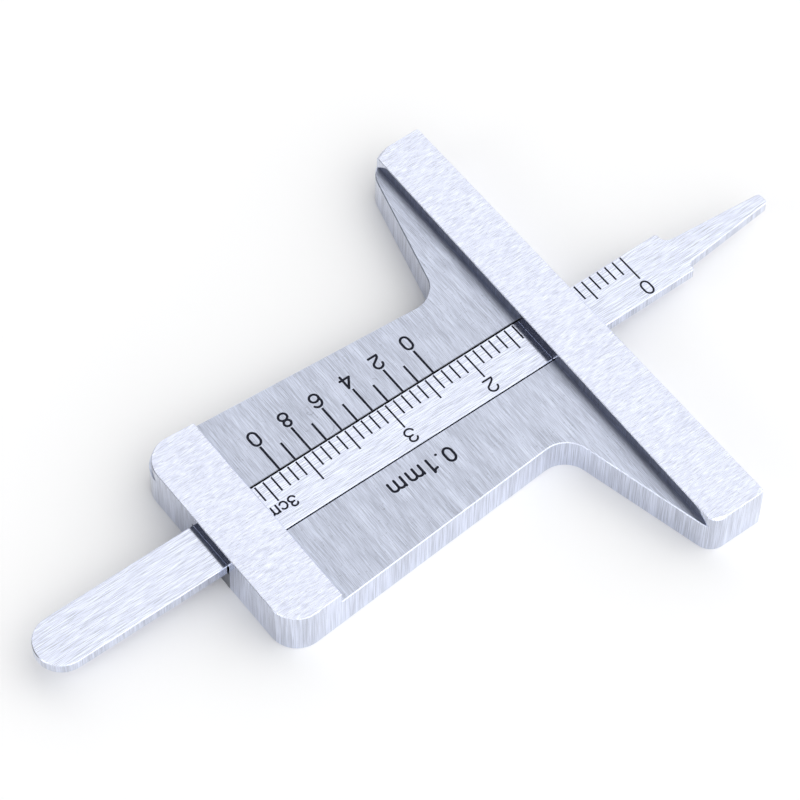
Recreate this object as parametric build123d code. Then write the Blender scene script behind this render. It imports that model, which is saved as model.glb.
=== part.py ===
from build123d import *
import os

# Vernier depth gauge, millimetres.
# x = 0 is the measuring face of the base bar and +X points towards the probe tip.
# y = 0 is the centre line of the beam and z = 0 is the flat back.

# Reading shown and the plates of the frame
reading = 23.8                 # depth shown, so the probe stands this far out
body_thickness = 4.1           # channelled plate, up to the recessed faces
cover_thickness = 1.5          # raised plates that close the channel
frame_length = 46.2            # measuring face to the far end of the frame
frame_centre_y = -0.35         # the beam runs a little off the middle of the frame

# Plan outline of the frame
bar_reach_left = 27.7          # measuring face, middle of the frame to its +Y end
bar_reach_right = 27.8         # measuring face, middle of the frame to its -Y end
bar_depth_left = 5.7           # raised bar at its +Y end
bar_depth_right = 6.45         # raised bar at its -Y end, its inner edge is out of square
bar_corner_radius_left = 3.0   # hand finished, the two ends differ
bar_corner_radius_right = 1.9
face_corner_radius = 0.3
wing_x_tip = 6.35              # slanted back of the bar, at the bar's ends
wing_x_root = 10.8             # slanted back of the bar, at the neck
neck_width = 20.8
neck_radius = 3.0
handle_width = 25.7            # flared handle, at its far end
handle_corner_radius = 3.0
bridge_depth = 6.4             # raised end bridge
bridge_setback = 0.45          # step from the frame's +Y side to the bridge
cover_corner_radius = 0.12

# Broken edges
body_chamfer = 0.1
cover_chamfer = 0.08
seam_chamfer = 0.03
channel_chamfer = 0.04

# Facets ground by hand on the bar's upper corners: heading and tilt in degrees, inset on the top face
bar_facets = [
    (112, 0.32, 45),
    (-110, 0.3, 45),
    (-56, 0.5, 14),
]

# Channel and beam
channel_width = 6.1
channel_centre_y = -0.05       # the gap beside the beam is wider on its -Y side
channel_depth = 1.5
beam_width = 5.8
beam_thickness = 1.35
beam_headroom = 0.07           # gap between the beam and the raised plates
beam_top_chamfer = 0.08
beam_bottom_chamfer = 0.1
tail_end_x = -66.45
shoulder_left_x = 12.0
shoulder_right_x = 12.4
shoulder_radius = 0.35
nose_centre_y = -0.2
nose_root_half = 1.73
nose_tip_half = 0.69
nose_fillet_left = 1.0
nose_fillet_right = 0.5
nose_corner_radius = 0.4

# Engraved graduations
scale_zero_x = 7.1             # zero mark of the beam, as it stands at this reading
scale_pitch = 1.0
scale_marks = 51
scale_lengths = {10: 3.4, 5: 2.78, 1: 2.05}
scale_mark_width = 0.2
vernier_zero_x = scale_zero_x - reading
vernier_pitch = 1.9
vernier_marks = 11
vernier_lengths = {2: 3.22, 1: 2.38}
vernier_mark_width = 0.25
mark_depth = 0.05

# Friction spring in its pocket under the beam
spring_centre_x = -23.0
spring_length = 15.0
spring_width = 4.0
spring_thickness = 0.15
spring_foot = 1.2
pocket_length = 17.0
pocket_width = 4.8
pocket_depth = 0.7

# Worked out from the above
bar_length = bar_reach_left + bar_reach_right
top = body_thickness + cover_thickness
channel_left = channel_centre_y + channel_width / 2
channel_right = channel_centre_y - channel_width / 2
half_beam = beam_width / 2
bridge_x = bridge_depth - frame_length
channel_floor = body_thickness - channel_depth
pocket_floor = channel_floor - pocket_depth
beam_top = body_thickness - beam_headroom
beam_bottom = beam_top - beam_thickness
tip_x = reading
past = 1.0                     # how far a cut runs past the metal


def mid(x, y):
    """A plan point whose y is measured from the middle line of the frame."""
    return (x, y + frame_centre_y)


def slab(x0, x1, y0, y1, z0, z1):
    """A box given by its limits."""
    centre = Pos((x0 + x1) / 2, (y0 + y1) / 2, (z0 + z1) / 2)
    return centre * Box(x1 - x0, y1 - y0, z1 - z0)


def rounded_plan(corners):
    """A closed plan face from (point, corner radius) pairs."""
    plan = make_face(Polyline([point for point, radius in corners], close=True))
    for point, radius in corners:
        if radius:
            corner = plan.vertices().sort_by_distance((*point, 0))[0]
            plan = fillet(corner, radius)
    return plan


def frame_side(way, bar_reach, bar_corner_radius):
    """Corners along one side of the frame, from the measuring face to the far end."""
    return [
        (mid(0, way * bar_reach), face_corner_radius),
        (mid(-wing_x_tip, way * bar_reach), bar_corner_radius),
        (mid(-wing_x_root, way * neck_width / 2), neck_radius),
        (mid(-frame_length, way * handle_width / 2), handle_corner_radius),
    ]


def frame_plan():
    """Bar, slanted wings, neck and flared handle."""
    left = frame_side(1, bar_reach_left, bar_corner_radius_left)
    right = frame_side(-1, bar_reach_right, bar_corner_radius_right)
    return rounded_plan(left + right[::-1])


def bar_plan():
    """The part of the plan that the raised base bar covers."""
    def inner_x(y):
        share = (bar_reach_left + frame_centre_y - y) / bar_length
        return -(bar_depth_left + (bar_depth_right - bar_depth_left) * share)
    reach = bar_length
    corners = [(past, reach), (inner_x(reach), reach), (inner_x(-reach), -reach), (past, -reach)]
    return make_face(Polyline(corners, close=True))


def bridge_plan():
    """The part of the plan that the raised end bridge covers."""
    x0 = -frame_length - past
    return Pos((x0 + bridge_x) / 2, 0) * Rectangle(bridge_x - x0, 2 * bar_length)


def engrave(solid, x, y0, y1, surface, mark_width):
    """Cuts one graduation across the top of a solid."""
    half = mark_width / 2
    return solid - slab(x - half, x + half, y0, y1, surface - mark_depth, surface + past)


def cover(plan, inner_edge):
    """A raised plate with eased edges, rounded where its inner edge meets the sides."""
    for corner in [tuple(vertex) for vertex in inner_edge.vertices()]:
        near = plan.vertices().sort_by_distance(corner)[0]
        plan = fillet(near, cover_corner_radius)
    plate = Pos(0, 0, body_thickness) * extrude(plan, cover_thickness)
    plate = chamfer(plate.edges().group_by(Axis.Z)[-1], cover_chamfer)
    return chamfer(plate.edges().group_by(Axis.Z)[0], seam_chamfer)


def ground_facet(plate, plan, heading, inset, tilt):
    """A raised plate with a flat ground across its upper corner on one heading."""
    reach = (Rot(0, 0, -heading) * plan).bounding_box().max.X
    place = Pos(0, 0, top) * Rot(0, 0, heading) * Pos(reach - inset, 0, 0) * Rot(0, tilt, 0)
    return split(plate, bisect_by=Plane(place), keep=Keep.BOTTOM)


def base_bar_cover():
    """Raised plate at the measuring end."""
    plan = frame_plan() & bar_plan()
    plate = cover(plan, plan.edges().sort_by(Axis.X)[0])
    for heading, inset, tilt in bar_facets:
        plate = ground_facet(plate, plan, heading, inset, tilt)
    return plate


def end_bridge_cover():
    """Raised plate at the far end."""
    plan = frame_plan() & bridge_plan() & (Pos(0, -bridge_setback) * frame_plan())
    return cover(plan, plan.edges().sort_by(Axis.X)[-1])


def frame_body():
    """Channelled plate with the vernier graduations."""
    square = extrude(frame_plan(), body_thickness)
    back_edges = square.edges().group_by(Axis.Z)[0].filter_by(lambda edge: edge.center().X < -past)
    square = chamfer(back_edges, body_chamfer)
    eased = chamfer(square.edges().group_by(Axis.Z)[-1], body_chamfer)
    covered = extrude(bar_plan(), body_thickness) + extrude(bridge_plan(), body_thickness)
    body = (square & covered) + (eased - covered)
    body -= slab(-frame_length - past, past, channel_right, channel_left,
                 channel_floor, body_thickness + past)
    rims = body.edges().filter_by(Axis.X).group_by(Axis.Z)[-1]
    body = chamfer(rims.filter_by_position(Axis.Y, channel_right, channel_left), channel_chamfer)
    body -= slab(spring_centre_x - pocket_length / 2, spring_centre_x + pocket_length / 2,
                 -pocket_width / 2, pocket_width / 2, pocket_floor, body_thickness)
    for count in range(vernier_marks):
        length = vernier_lengths[2 if count % 2 == 0 else 1]
        x = vernier_zero_x - count * vernier_pitch
        body = engrave(body, x, channel_left - past, channel_left + length,
                       body_thickness, vernier_mark_width)
    return body


def beam():
    """Sliding beam with a round tail, a narrow nose and the millimetre graduations."""
    tail_x = tail_end_x + half_beam
    plan = rounded_plan([
        ((tail_x, half_beam), 0),
        ((shoulder_left_x, half_beam), shoulder_radius),
        ((shoulder_left_x, nose_centre_y + nose_root_half), nose_fillet_left),
        ((tip_x, nose_centre_y + nose_tip_half), nose_corner_radius),
        ((tip_x, nose_centre_y - nose_tip_half), nose_corner_radius),
        ((shoulder_right_x, nose_centre_y - nose_root_half), nose_fillet_right),
        ((shoulder_right_x, -half_beam), shoulder_radius),
        ((tail_x, -half_beam), 0),
    ])
    plan += Pos(tail_x, 0) * Circle(half_beam)
    bar = Pos(0, 0, beam_bottom) * extrude(plan, beam_thickness)
    bar = chamfer(bar.edges().group_by(Axis.Z)[-1], beam_top_chamfer)
    bar = chamfer(bar.edges().group_by(Axis.Z)[0], beam_bottom_chamfer)
    for count in range(scale_marks):
        length = scale_lengths[max(step for step in scale_lengths if count % step == 0)]
        x = scale_zero_x - count * scale_pitch
        bar = engrave(bar, x, half_beam - length, half_beam + past, beam_top, scale_mark_width)
    return bar


def friction_spring():
    """Bowed leaf spring: its feet rest in the pocket and its crest bears on the beam."""
    half = spring_length / 2
    flat = half - spring_foot
    rise = beam_bottom - pocket_floor - spring_thickness

    def bow(z):
        ends = [(-flat, z), (0, z + rise), (flat, z)]
        return Spline(ends, tangents=[(1, 0), (1, 0)])

    low, high = pocket_floor, pocket_floor + spring_thickness
    edges = [
        Line((-half, low), (-flat, low)), bow(low), Line((flat, low), (half, low)),
        Line((half, low), (half, high)),
        Line((half, high), (flat, high)), bow(high), Line((-flat, high), (-half, high)),
        Line((-half, high), (-half, low)),
    ]
    profile = Plane.XZ * make_face(Wire(edges))
    leaf = extrude(profile, spring_width / 2, both=True)
    return Pos(spring_centre_x, 0, 0) * leaf


os.makedirs("parts", exist_ok=True)
export_step(frame_body(), "parts/frame_body.step")
export_step(base_bar_cover(), "parts/base_bar_cover.step")
export_step(end_bridge_cover(), "parts/end_bridge_cover.step")
export_step(beam(), "parts/beam.step")
export_step(friction_spring(), "parts/friction_spring.step")
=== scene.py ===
import math

import bpy
from mathutils import Matrix, Vector


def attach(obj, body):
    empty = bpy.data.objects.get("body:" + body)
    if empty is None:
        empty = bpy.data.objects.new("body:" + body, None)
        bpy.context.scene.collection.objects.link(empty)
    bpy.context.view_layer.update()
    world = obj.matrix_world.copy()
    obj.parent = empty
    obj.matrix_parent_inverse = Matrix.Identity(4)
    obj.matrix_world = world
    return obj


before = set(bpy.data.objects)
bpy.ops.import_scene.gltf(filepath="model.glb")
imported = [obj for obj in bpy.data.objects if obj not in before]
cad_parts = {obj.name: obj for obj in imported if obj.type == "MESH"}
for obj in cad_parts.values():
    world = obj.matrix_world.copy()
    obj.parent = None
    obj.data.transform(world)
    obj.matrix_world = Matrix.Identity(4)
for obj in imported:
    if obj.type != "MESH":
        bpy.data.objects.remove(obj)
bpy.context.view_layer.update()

# Sizes are in millimetres, turned into metres by mm
mm = 0.001


def reach(name):
    """How far a solid reaches towards +X, +Y and +Z, to the micrometre."""
    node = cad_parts[name]
    corners = [node.matrix_world @ Vector(corner) for corner in node.bound_box]
    return [round(max(corner[axis] for corner in corners) / mm, 3) for axis in range(3)]


# Frame and beam
body_top = reach("frame_body")[2]              # recessed faces of the frame
tip_x, half_beam, beam_top = reach("beam")
channel_left = 3.0
channel_right = -3.1
channel_rim = 0.05                             # eased edge of the channel, darkened with the channel's painted shade

# Graduations, as they are engraved in the steel
scale_zero_x = 7.1                             # zero mark of the beam at the reading shown
scale_pitch = 1.0
scale_marks = 51
scale_lengths = {10: 3.4, 5: 2.78, 1: 2.05}    # of every tenth, every fifth and every other mark
scale_mark_width = 0.2
vernier_zero_x = scale_zero_x - tip_x          # the tip stands out by the reading shown
vernier_pitch = 1.9
vernier_marks = 11
vernier_lengths = {2: 3.22, 1: 2.38}           # of the even and the odd marks
vernier_mark_width = 0.25
mark_depth = 0.05

# Ink
ink_below = 0.006                              # ink in a graduation stops this far under the steel
ink_proud = 0.008                              # printed ink stands this far over the steel
ink_easing = 0.01                              # rounding of the edges of the ink in a graduation
scale_ink_start = 0.14                         # ink stops short of the beam's edge
vernier_ink_start = 0.04                       # ink stops short of the channel's edge
ink_dark = (0.006, 0.007, 0.014, 1)
ink_worn = (0.018, 0.02, 0.034, 1)
ink_roughness = (0.5, 0.7)
ink_gloss = 0.12
ink_specks = 6000                              # to the metre

# Lettering: stroke widths, then (character, x, y, size across, size up) of each character
vernier_stroke = 0.265
legend_stroke = 0.28
scale_stroke = 0.215
vernier_letters = (
    ("0", -16.7, 7.38, 1, 1), ("2", -20.48, 7.32, 1, 1), ("4", -24.3, 7.29, 1, 1),
    ("6", -28.08, 7.3, 1, 1), ("8", -31.87, 7.29, 1, 1), ("0", -35.63, 7.27, 1.04, 1.02),
)
legend_letters = (
    ("0", -21.35, -5.65, 1, 1), (".", -22.48, -4.88, 1, 1), ("1", -23.68, -5.65, 1, 1),
    ("m", -25.4, -5.4, 1, 1), ("m", -27.63, -5.4, 1, 1),
)
scale_letters = (
    ("0", 7.02, -1.75, 1, 1), ("1", -2.9, -1.69, 1, 1), ("2", -12.94, -1.65, 1.05, 1),
    ("3", -22.95, -1.59, 1, 1), ("3", -36.78, -0.73, 0.75, 0.75),
    ("c", -37.83, -0.57, 1, 1), ("m", -39.08, -0.57, 0.75, 0.78),
)
cap_angles = (30, 55, 75, 88)                  # steps of a stroke's rounded end

# Grinding lines as (width, length, turn in degrees, share), on the walls with detail for turn
recess_lines = ((0.05, 4, 1, 0.45), (0.06, 1.4, -4, 0.32), (0.25, 10, -0.5, 0.11), (1.2, 9, 0.5, 0.12))
cover_lines = ((0.055, 1.2, 0.5, 0.4), (0.045, 0.8, -1, 0.35), (0.06, 0.6, 0, 0.25))
beam_lines = ((0.06, 2.2, 0.6, 0.4), (0.05, 1.2, -1, 0.4), (0.09, 5, 0, 0.2))
wall_lines = ((0.07, 4, 2, 0.6), (0.3, 9, 1, 0.2), (0.9, 14, 1, 0.2))

# Steel
recess_tint = (0.66, 0.702, 0.828)
cover_tint = (0.703, 0.736, 0.869)
beam_tint = (0.684, 0.72, 0.846)
spring_tint = (0.6, 0.62, 0.66)
wall_tint = (0.665, 0.7, 0.81)
tone_range = (0.32, 0.68)                      # of the lines, from darkest to lightest
wall_roughness = 0.15
swing_range = (0.3, 0.7)
roughness_swing = 0.04                         # rougher in the dark lines, smoother in the light ones
steel_anisotropy = 0.85
flat_limit = 0.5                               # a flat's normal has more than this along Z
channel_shade_tone = 0.25                              # what is left of the tone inside the channel, a painted shade
channel_shade_edge = (0.02, 0.005)                     # the painted shade sets in between these, past the channel's edge

# Wear and painted highlights: each tone is added where its mark lies; the glints are painted highlights,
# the specks and scratches are wear
glint_lines = (0.05, 1.6, 3)                   # width, length, turn in degrees
glint_range = (0.66, 0.76)
glint_tone = 0.12
specks = 5200                                  # to the metre
speck_range = (0.74, 0.8)
speck_tone = -0.16
scratch_tone = -0.2
scratch_edges = (0.09, 0.02)                   # a scratch sets in between these, off its line
scratch_fade = 0.6                             # share of its half length where it starts to fade

# Scratches as the centre and radius of the curve, then the middle and half length of its visible stretch
scratches = (
    ((-22.2, 5.5, body_top), 0.55, (-21.85, 5.8, body_top), 0.36),
    ((-29.33, 6.62, body_top), 0.38, (-29.45, 6.35, body_top), 0.5),
    ((-29.3, 4.25, body_top), 0.96, (-28.85, 3.5, body_top), 0.7),
)

# Studio light
light_level = 1.17
bright_way = (0.55, -0.83)                     # heading of the bright side, X and Y
bright_range = (0.0, 0.85)
bright_side = 1.5                              # share of light there
dim_range = (-0.75, -0.15)
dim_side = 0.06                                # share of light on the other side
dim_lift = 0.65                                # how soon the dim side turns light with height
strip_light = 3.0                              # share of light in the bright strip
panel_colour = (0.02, 0.023, 0.04, 1)

# Patches of the surround: outer and inner limits in degrees of lean, from straight up towards +X,
# and of rise, towards +Y
dark_panel = {"lean": ((-54, -42), (10, 0)), "rise": ((-10, 2), (56, 46))}
bright_strip = {"lean": ((-77, -70), (-55, -60)), "rise": ((-5, 2), (18, 11))}

# Floor
floor_size = 6000.0
floor_below = 0.01
floor_white = (0.99, 0.99, 0.99, 1)
floor_roughness = 0.9

# Camera, aimed at a point on the beam
camera_place = (-146.9, -156.45, 309.73)
camera_aim = (-21.35, 2.35, 4.1)
camera_roll = 1.19                             # degrees, anticlockwise
camera_lens = 166.4
camera_sensor = 36
camera_clip = (10.0, 20000.0)


# Node trees

def add(tree, kind, **settings):
    """A node with its properties set."""
    node = tree.nodes.new(kind)
    for name, value in settings.items():
        setattr(node, name, value)
    return node


def feed(tree, socket, value):
    """Joins an output to a socket, or writes a plain value into it."""
    if isinstance(value, bpy.types.NodeSocket):
        tree.links.new(value, socket)
    else:
        socket.default_value = value


def math_node(tree, operation, first, second=0.0):
    """One operation on one or two values."""
    node = add(tree, "ShaderNodeMath", operation=operation)
    feed(tree, node.inputs[0], first)
    feed(tree, node.inputs[1], second)
    return node.outputs[0]


def total(tree, parts):
    """Sum of (output, share) pairs."""
    result = 0.0
    for part, share in parts:
        result = math_node(tree, "ADD", result, math_node(tree, "MULTIPLY", part, share))
    return result


def between(tree, value, low, high, new_low=0.0, new_high=1.0):
    """A value carried smoothly from one range to another."""
    node = add(tree, "ShaderNodeMapRange", interpolation_type="SMOOTHSTEP")
    for name, number in (("Value", value), ("From Min", low), ("From Max", high),
                         ("To Min", new_low), ("To Max", new_high)):
        feed(tree, node.inputs[name], number)
    return node.outputs["Result"]


def blend_vector(tree, share, first, second):
    """A vector between two, the second where the share is 1."""
    node = add(tree, "ShaderNodeMix", data_type="VECTOR")
    feed(tree, node.inputs[0], share)
    feed(tree, node.inputs[4], first)
    feed(tree, node.inputs[5], second)
    return node.outputs[1]


def blend_colour(tree, share, first, second):
    """A colour between two, the second where the share is 1."""
    node = add(tree, "ShaderNodeMix", data_type="RGBA")
    feed(tree, node.inputs[0], share)
    feed(tree, node.inputs[6], first)
    feed(tree, node.inputs[7], second)
    return node.outputs[2]


def scaled(tree, vector, factor):
    """A vector or colour times a factor."""
    node = add(tree, "ShaderNodeVectorMath", operation="SCALE")
    feed(tree, node.inputs[0], vector)
    feed(tree, node.inputs["Scale"], factor)
    return node.outputs[0]


def noise(tree, place, scale=1.0, detail=1.0):
    """Noise from 0 to 1."""
    node = add(tree, "ShaderNodeTexNoise")
    feed(tree, node.inputs["Vector"], place)
    node.inputs["Scale"].default_value = scale
    node.inputs["Detail"].default_value = detail
    return node.outputs["Fac"]


def line_noise(tree, place, way, width, length, turn=0.0, detail=1.0):
    """Noise drawn out into lines along one axis and turned about Z."""
    sizes = [width * mm] * 3
    sizes["XYZ".index(way)] = length * mm
    node = add(tree, "ShaderNodeMapping", vector_type="TEXTURE")
    feed(tree, node.inputs["Vector"], place)
    node.inputs["Rotation"].default_value = (0, 0, math.radians(turn))
    node.inputs["Scale"].default_value = sizes
    return noise(tree, node.outputs["Vector"], 1.0, detail)


def distance_to(tree, place, point):
    """Distance in metres to a point given in millimetres."""
    node = add(tree, "ShaderNodeVectorMath", operation="DISTANCE")
    feed(tree, node.inputs[0], place)
    node.inputs[1].default_value = Vector(point) * mm
    return node.outputs["Value"]


def new_material(name):
    """A new material with one shader, returned with its node tree and that shader."""
    material = bpy.data.materials.new(name)
    material.use_nodes = True
    tree = material.node_tree
    tree.nodes.clear()
    output = add(tree, "ShaderNodeOutputMaterial")
    shader = add(tree, "ShaderNodeBsdfPrincipled")
    tree.links.new(shader.outputs[0], output.inputs["Surface"])
    return material, tree, shader


# Steel finishes

def hairline(tree, place, centre, radius, middle, length):
    """A short curved scratch, 1 on its line: the stretch of a ring within a length of its middle."""
    off_line = math_node(tree, "SUBTRACT", distance_to(tree, place, centre), radius * mm)
    off_line = math_node(tree, "ABSOLUTE", off_line)
    outer, inner = scratch_edges
    on_line = between(tree, off_line, outer * mm, inner * mm)
    near = between(tree, distance_to(tree, place, middle), length * mm, scratch_fade * length * mm)
    return math_node(tree, "MULTIPLY", on_line, near)


def wear_and_painted_glints(tree, place, line_way, marks):
    """Tone added by glints, which are painted highlights, and by dark specks and scratches, which are
    wear.
    """
    width, length, turn = glint_lines
    glint = between(tree, line_noise(tree, place, line_way, width, length, turn), *glint_range)
    speck = between(tree, noise(tree, place, specks, 0), *speck_range)
    parts = [(glint, glint_tone), (speck, speck_tone)]
    parts += [(hairline(tree, place, *mark), scratch_tone) for mark in marks]
    return total(tree, parts)


def channel_painted_shade(tree, place):
    """Painted shade of the channel between frame and beam: tone full outside the channel, low inside it.
    """
    spot = add(tree, "ShaderNodeSeparateXYZ")
    tree.links.new(place, spot.inputs[0])
    left = channel_left + channel_rim
    middle = (left + channel_right) / 2 * mm
    half = (left - channel_right) / 2 * mm
    off_middle = math_node(tree, "SUBTRACT", spot.outputs["Y"], middle)
    off_middle = math_node(tree, "ABSOLUTE", off_middle)
    outer, inner = channel_shade_edge
    inside = between(tree, off_middle, half + outer * mm, half + inner * mm)
    return between(tree, inside, 0.0, 1.0, 1.0, channel_shade_tone)


def brushed_steel(name, flat_tint, flat_lines, line_way, flat_roughness, contrast, depth,
                  marks=(), shade_channel=False):
    """Ground steel, its lines along line_way on the flats and along Z on the walls."""
    material, tree, shader = new_material(name)
    here = add(tree, "ShaderNodeTexCoord")
    place = here.outputs["Object"]
    facing = add(tree, "ShaderNodeSeparateXYZ")
    tree.links.new(here.outputs["Normal"], facing.inputs[0])
    upward = math_node(tree, "ABSOLUTE", facing.outputs["Z"])
    flat = math_node(tree, "GREATER_THAN", upward, flat_limit)

    on_flats = total(tree, [(line_noise(tree, place, line_way, width, length, turn), share)
                            for width, length, turn, share in flat_lines])
    on_walls = total(tree, [(line_noise(tree, place, "Z", width, length, detail=detail), share)
                            for width, length, detail, share in wall_lines])
    pattern = between(tree, flat, 0.0, 1.0, on_walls, on_flats)

    tone = between(tree, pattern, *tone_range, 1 - contrast, 1 + contrast)
    # Painted highlights (the glints) and wear, on the flats only
    wear_and_glint_tone = math_node(tree, "MULTIPLY", wear_and_painted_glints(tree, place, line_way, marks), flat)
    tone = math_node(tree, "ADD", tone, wear_and_glint_tone)
    # Painted shade: the steel is darkened inside the channel, where shade falls in the gaps beside the
    # beam
    if shade_channel:
        tone = math_node(tree, "MULTIPLY", tone, channel_painted_shade(tree, place))
    tint = blend_colour(tree, flat, (*wall_tint, 1), (*flat_tint, 1))
    feed(tree, shader.inputs["Base Color"], scaled(tree, tint, tone))
    shader.inputs["Metallic"].default_value = 1.0
    base = between(tree, flat, 0.0, 1.0, wall_roughness, flat_roughness)
    swing = between(tree, pattern, *swing_range, roughness_swing, -roughness_swing)
    feed(tree, shader.inputs["Roughness"], math_node(tree, "ADD", base, swing))

    # The reflection is smeared across the lines
    sideways = add(tree, "ShaderNodeVectorMath", operation="CROSS_PRODUCT")
    tree.links.new(here.outputs["Normal"], sideways.inputs[0])
    sideways.inputs[1].default_value = (0, 0, 1)
    smear = (0, 1, 0) if line_way == "X" else (1, 0, 0)
    shader.inputs["Anisotropic"].default_value = steel_anisotropy
    feed(tree, shader.inputs["Tangent"], blend_vector(tree, flat, sideways.outputs[0], smear))

    bump = add(tree, "ShaderNodeBump")
    bump.inputs["Strength"].default_value = 1.0
    bump.inputs["Distance"].default_value = depth * mm
    feed(tree, bump.inputs["Height"], pattern)
    tree.links.new(bump.outputs[0], shader.inputs["Normal"])
    return material


def marking_ink():
    """Blue-black filling of the graduations and numerals, slightly uneven."""
    material, tree, shader = new_material("marking_ink")
    here = add(tree, "ShaderNodeTexCoord")
    speck = noise(tree, here.outputs["Object"], ink_specks, 2)
    feed(tree, shader.inputs["Base Color"], blend_colour(tree, speck, ink_dark, ink_worn))
    feed(tree, shader.inputs["Roughness"], between(tree, speck, *swing_range, *ink_roughness))
    shader.inputs["Specular IOR Level"].default_value = ink_gloss
    return material


# Modelling helpers

def deselect():
    """Leaves nothing selected."""
    bpy.ops.object.select_all(action="DESELECT")


def select_only(pieces):
    """Selects these pieces alone, the first of them active."""
    deselect()
    for piece in pieces:
        piece.select_set(True)
    bpy.context.view_layer.objects.active = pieces[0]


def finish_piece(piece, name, material, body):
    """Applies the piece's place, names it and lets it ride on its body."""
    select_only([piece])
    bpy.ops.object.transform_apply(location=True, rotation=True, scale=True)
    piece.name = name
    piece.data.name = name
    piece.data.materials.clear()
    piece.data.materials.append(material)
    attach(piece, body)


# Graduations

def ink_filling(length, width):
    """The ink of one groove that runs along +Y from the origin, its edges eased."""
    height = mark_depth - ink_below
    deselect()
    bpy.ops.mesh.primitive_cube_add(
        size=1,
        location=(0, length / 2 * mm, (height / 2 - mark_depth) * mm),
        scale=(width * mm, length * mm, height * mm))
    bpy.ops.object.transform_apply(location=True, rotation=False, scale=True)
    bpy.ops.object.mode_set(mode="EDIT")
    bpy.ops.mesh.select_all(action="SELECT")
    bpy.ops.mesh.bevel(offset=ink_easing * mm, segments=2)
    bpy.ops.object.mode_set(mode="OBJECT")
    return bpy.context.object


def fill_graduations(name, marks, zero_x, pitch, ink, width, top, material, body):
    """Ink in a row of grooves. For every so many marks, ink gives its lower end in Y and its length."""
    fillings = {step: ink_filling(ink[step][1], width) for step in ink}
    pieces = []
    for count in range(marks):
        step = max(step for step in ink if count % step == 0)
        place = (zero_x - count * pitch, ink[step][0], top)
        select_only([fillings[step]])
        bpy.ops.object.duplicate(linked=False)
        bpy.ops.transform.translate(value=[along * mm for along in place])
        pieces.append(bpy.context.object)
    select_only(list(fillings.values()))
    bpy.ops.object.delete()
    select_only(pieces)
    bpy.ops.object.join()
    finish_piece(pieces[0], name, material, body)


# Lettering in single round-ended strokes, in millimetres about the middle of each character

def arc(centre, across, up, start, end, steps=14):
    """Points of an ellipse arc, angles in degrees, anticlockwise as read."""
    points = []
    for step in range(steps + 1):
        angle = math.radians(start + (end - start) * step / steps)
        points.append((centre[0] + across * math.cos(angle), centre[1] + up * math.sin(angle)))
    return points


def glyph_0():
    return [arc((0, 0.25), 0.46, 0.56, 0, 180) + arc((0, -0.25), 0.46, 0.56, 180, 360)
            + [(0.46, 0.25)]]


def glyph_1():
    return [[(0, 0.82), (0, -0.82)], [(0, 0.82), (-0.1, 0.64), (-0.25, 0.53), (-0.5, 0.48)]]


def glyph_2():
    return [arc((0, 0.31), 0.475, 0.475, 180, -40) + arc((0.08, -0.785), 0.555, 0.5, 122, 180, 6),
            [(-0.475, -0.785), (0.495, -0.785)]]


def glyph_3():
    return [arc((-0.01, 0.42), 0.43, 0.36, 175, -90) + [(-0.15, 0.06)],
            arc((0, -0.37), 0.5, 0.43, 90, -175)]


def glyph_4():
    return [[(0.24, 0.79), (0.24, -0.79)], [(0.24, 0.79), (-0.55, -0.36)], [(-0.55, -0.36), (0.55, -0.36)]]


def glyph_6():
    return [arc((0.015, -0.325), 0.485, 0.475, 0, 360),
            [(-0.47, -0.325)] + arc((0.06, 0.22), 0.53, 0.58, 195, 32)]


def glyph_8():
    return [arc((0, 0.44), 0.39, 0.38, 0, 360), arc((0, -0.4), 0.48, 0.44, 0, 360)]


def glyph_c():
    return [arc((0, 0), 0.38, 0.44, 35, 325)]


def glyph_m():
    return [[(-0.77, 0.58), (-0.77, -0.58)],
            arc((-0.385, 0.2), 0.385, 0.36, 160, 0) + [(0, -0.58)],
            arc((0.385, 0.2), 0.385, 0.36, 160, 0) + [(0.77, -0.58)]]


def glyph_point():
    return [[(-0.02, 0), (0.02, 0)]]


glyphs = {"0": glyph_0, "1": glyph_1, "2": glyph_2, "3": glyph_3, "4": glyph_4,
          "6": glyph_6, "8": glyph_8, "c": glyph_c, "m": glyph_m, ".": glyph_point}


def round_ended(points, half):
    """Points and radius shares of a stroke whose two ends are half circles."""
    def cap(end, before):
        outward = (Vector(end) - Vector(before)).normalized() * half
        return [(Vector(end) + outward * math.sin(math.radians(a)), math.cos(math.radians(a)))
                for a in cap_angles]
    first = cap(points[0], points[1])
    last = cap(points[-1], points[-2])
    return first[::-1] + [(Vector(point), 1.0) for point in points] + last


def lettering(name, letters, top, width, material, body):
    """Printed characters, read towards -X with their tops to -Y."""
    curve = bpy.data.curves.new(name, "CURVE")
    curve.dimensions = "3D"
    half = width / 2
    curve.bevel_depth = half * mm
    curve.bevel_resolution = 2
    curve.use_fill_caps = True
    for character, x, y, across, up in letters:
        for stroke in glyphs[character]():
            sized = [Vector((u * across, v * up)) for u, v in stroke]
            ring = (sized[0] - sized[-1]).length < 0.001
            line = [(at, 1.0) for at in sized[:-1]] if ring else round_ended(sized, half)
            spline = curve.splines.new("POLY")
            spline.use_cyclic_u = ring
            spline.points.add(len(line) - 1)
            for point, (at, radius) in zip(spline.points, line):
                point.co = ((x - at.x) * mm, (y - at.y) * mm, 0, 1)
                point.radius = radius
    words = bpy.data.objects.new(name, curve)
    bpy.context.scene.collection.objects.link(words)
    select_only([words])
    bpy.ops.object.convert(target="MESH")
    piece = bpy.context.object
    piece.scale.z = ink_proud / half
    piece.location.z = top * mm
    finish_piece(piece, name, material, body)


# Studio

def patch(tree, lean, rise, limits):
    """A patch of the surround, 1 inside it and 0 outside."""
    share = 1.0
    for angle, ends in ((lean, limits["lean"]), (rise, limits["rise"])):
        for outer, inner in ends:
            edge = between(tree, angle, math.radians(outer), math.radians(inner))
            share = math_node(tree, "MULTIPLY", share, edge)
    return share


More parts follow.
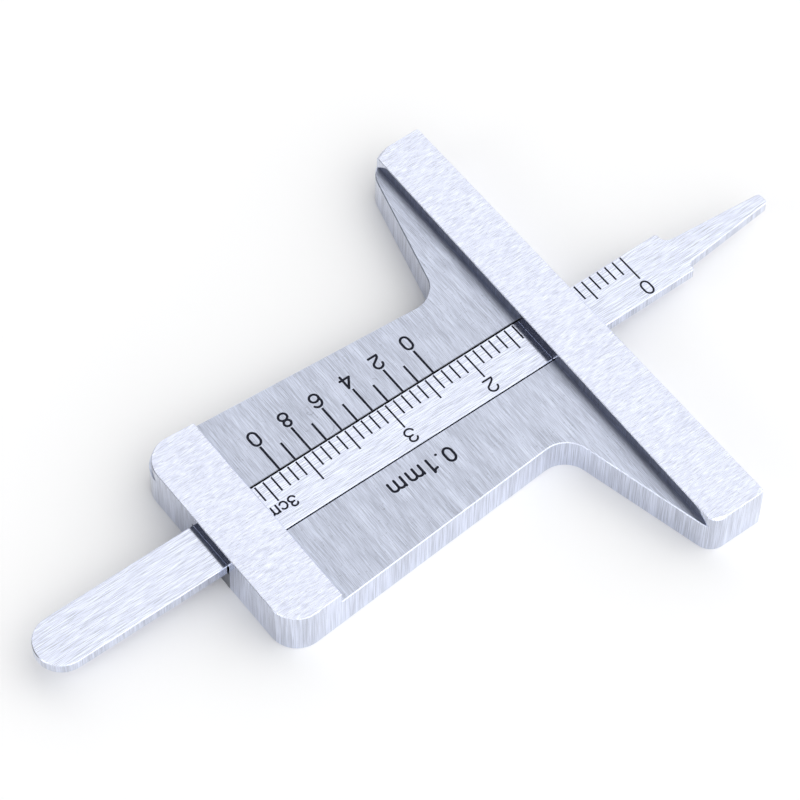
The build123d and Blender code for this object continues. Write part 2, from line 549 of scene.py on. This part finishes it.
def studio_light():
    """Soft white surround, dim to one side, with a small dark panel and a small bright strip."""
    world = bpy.data.worlds.new("soft_studio")
    bpy.context.scene.world = world
    world.use_nodes = True
    tree = world.node_tree
    tree.nodes.clear()
    output = add(tree, "ShaderNodeOutputWorld")
    background = add(tree, "ShaderNodeBackground")
    tree.links.new(background.outputs[0], output.inputs["Surface"])
    here = add(tree, "ShaderNodeTexCoord")
    way = add(tree, "ShaderNodeSeparateXYZ")
    tree.links.new(here.outputs["Generated"], way.inputs[0])
    lean = math_node(tree, "ARCTAN2", way.outputs["X"], way.outputs["Z"])
    rise = math_node(tree, "ARCSINE", way.outputs["Y"])
    panel = patch(tree, lean, rise, dark_panel)
    strip = patch(tree, lean, rise, bright_strip)
    across = total(tree, [(way.outputs["X"], bright_way[0]), (way.outputs["Y"], bright_way[1])])
    lifted = total(tree, [(across, 1), (way.outputs["Z"], dim_lift)])
    level = between(tree, lifted, *dim_range, light_level * dim_side, light_level)
    level = math_node(tree, "MULTIPLY", level, between(tree, across, *bright_range, 1, bright_side))
    level = math_node(tree, "MULTIPLY", level, between(tree, strip, 0, 1, 1, strip_light))
    lit = add(tree, "ShaderNodeCombineXYZ")
    for socket in lit.inputs:
        feed(tree, socket, level)
    feed(tree, background.inputs["Color"], blend_colour(tree, panel, lit.outputs[0], panel_colour))


def studio_floor():
    """A plain pale floor, far wider than the camera sees."""
    deselect()
    bpy.ops.mesh.primitive_plane_add(size=floor_size * mm, location=(0, 0, -floor_below * mm))
    floor = bpy.context.object
    floor.name = "studio_floor"
    material, tree, shader = new_material("pale_floor")
    shader.inputs["Base Color"].default_value = floor_white
    shader.inputs["Roughness"].default_value = floor_roughness
    shader.inputs["Specular IOR Level"].default_value = 0.0
    floor.data.materials.append(material)


def photo_camera():
    """The camera that sees the object as the photo shows it."""
    data = bpy.data.cameras.new("photo_camera")
    data.lens = camera_lens
    data.sensor_width = camera_sensor
    data.clip_start, data.clip_end = [limit * mm for limit in camera_clip]
    camera = bpy.data.objects.new("photo_camera", data)
    bpy.context.scene.collection.objects.link(camera)
    place = Vector(camera_place) * mm
    aim = Vector(camera_aim) * mm
    forward = (aim - place).normalized()
    level = forward.cross(Vector((0, 0, 1))).normalized()
    up = level.cross(forward)
    turn = Matrix((level, up, -forward)).transposed()
    roll = Matrix.Rotation(math.radians(camera_roll), 3, "Z")
    camera.matrix_world = Matrix.Translation(place) @ (turn @ roll).to_4x4()
    bpy.context.scene.camera = camera


# Finishes on the solids

# The frame's steel carries the painted shade of the channel
frame_material = brushed_steel("recess_steel", recess_tint, recess_lines, "Y", flat_roughness=0.33,
                               contrast=0.26, depth=0.004, marks=scratches, shade_channel=True)
cover_material = brushed_steel("cover_steel", cover_tint, cover_lines, "X", flat_roughness=0.28,
                               contrast=0.27, depth=0.002)
beam_material = brushed_steel("beam_steel", beam_tint, beam_lines, "X", flat_roughness=0.22,
                              contrast=0.26, depth=0.002)
spring_material = brushed_steel("spring_steel", spring_tint, beam_lines, "X", flat_roughness=0.3,
                                contrast=0.1, depth=0.002)
for node, material in (("frame_body", frame_material), ("base_bar_cover", cover_material),
                       ("end_bridge_cover", cover_material), ("beam", beam_material),
                       ("friction_spring", spring_material)):
    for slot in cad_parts[node].material_slots:
        slot.material = material

# Ink in the graduations: the vernier's starts at the channel, the scale's ends at the beam's edge
ink = marking_ink()
vernier_ink = {step: (channel_left + vernier_ink_start, length - vernier_ink_start)
               for step, length in vernier_lengths.items()}
fill_graduations("vernier_marks", vernier_marks, vernier_zero_x, vernier_pitch, vernier_ink,
                 vernier_mark_width, body_top, ink, "frame")
scale_ink = {step: (half_beam - length, length - scale_ink_start)
             for step, length in scale_lengths.items()}
fill_graduations("scale_marks", scale_marks, scale_zero_x, scale_pitch, scale_ink,
                 scale_mark_width, beam_top, ink, "beam")

# Lettering
lettering("vernier_numerals", vernier_letters, body_top, vernier_stroke, ink, "frame")
lettering("reading_legend", legend_letters, body_top, legend_stroke, ink, "frame")
lettering("scale_numerals", scale_letters, beam_top, scale_stroke, ink, "beam")

studio_light()
studio_floor()
photo_camera()

scene = bpy.context.scene
scene.view_settings.view_transform = "Standard"
